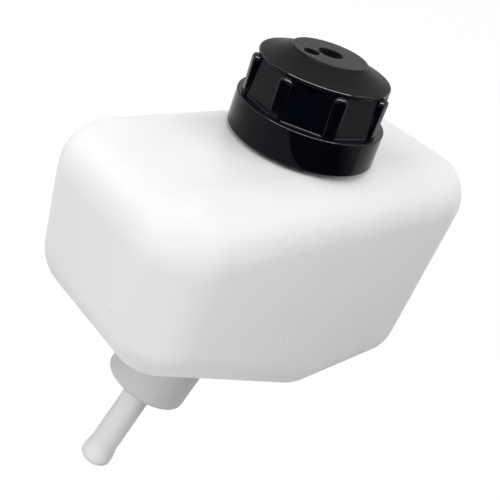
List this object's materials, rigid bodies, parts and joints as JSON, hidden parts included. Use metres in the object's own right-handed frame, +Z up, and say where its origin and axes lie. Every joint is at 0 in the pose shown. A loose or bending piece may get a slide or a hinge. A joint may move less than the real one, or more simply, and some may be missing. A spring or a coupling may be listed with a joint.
{
  "type": "brake fluid reservoir",
  "caption": "Moulded brake fluid reservoir with a sloping floor, a round outlet boss, a beaded hose spigot and a ribbed, vented screw cap over a bellows and a strainer.",
  "frame": {"origin": "centre of the whole object's box", "axes": "+Z up along the filler neck's axis, square to the tank's level top; +X along the tank, away from the outlet; +Y across the tank, out of its back face"},
  "size_m": [0.1498, 0.074, 0.1688],
  "materials": {
    "tank_plastic": "satin",
    "strainer_plastic": "satin",
    "rubber": "matte",
    "plate_plastic": "satin",
    "cap_plastic": "gloss"
  },
  "bodies": {
    "tank": {"reservoir_tank": "tank_plastic", "filler_strainer": "strainer_plastic"},
    "bellows": {"bellows_diaphragm": "rubber"},
    "plate": {"slip_plate": "plate_plastic"},
    "cap": {"screw_cap": "cap_plastic"}
  },
  "joints": [
    {"name": "lift_off", "type": "slide", "parent": "tank", "child": "bellows", "axis": [0, 0, 1], "range_m": [0, 0.05]},
    {"name": "cap_rise", "type": "slide", "parent": "bellows", "child": "plate", "axis": [0, 0, 1], "range_m": [0, 0.0081]},
    {"name": "cap_turn", "type": "hinge", "parent": "plate", "child": "cap", "pos_m": [0.00108, 0, 0.08], "axis": [0, 0, 1], "range_deg": [0, 720]}
  ],
  "couplings": [
    {"joint": "cap_rise", "follows": "cap_turn", "m_per_rad": 0.00063662}
  ]
}
